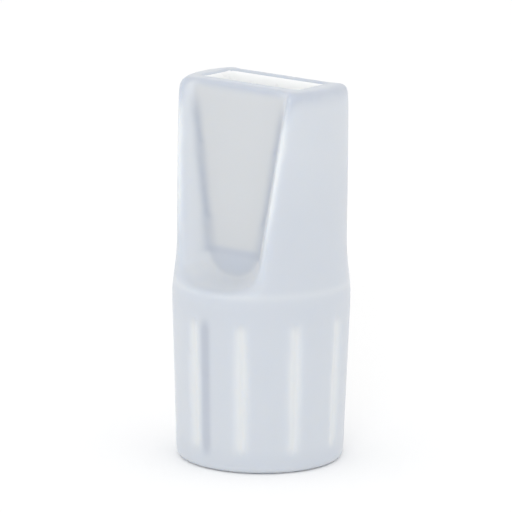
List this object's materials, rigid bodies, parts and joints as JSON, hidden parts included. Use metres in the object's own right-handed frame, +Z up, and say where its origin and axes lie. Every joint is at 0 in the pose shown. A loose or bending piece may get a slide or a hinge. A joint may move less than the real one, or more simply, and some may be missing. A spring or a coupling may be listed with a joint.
{
  "type": "saliva ejector tip",
  "caption": "Push-on suction mouthpiece with an oblong mouth, sunk flat side panels, a fluted grip and a round socket for a suction tube.",
  "frame": {"origin": "centre of the open base, on the face the tip stands on", "axes": "+Z up the axis to the mouth; X along the mouth's long side; the two sunk flat panels face -Y and +Y"},
  "size_m": [0.0126, 0.0126, 0.0273],
  "materials": {
    "milky_plastic": "translucent moulded polymer, satin",
    "white_plastic": "moulded, satin",
    "clear_silicone": "soft, smooth, satin"
  },
  "bodies": {
    "root": {"tip_body": "milky_plastic", "strainer": "white_plastic", "seal_ring": "clear_silicone", "tube_bush": "white_plastic"}
  },
  "joints": []
}
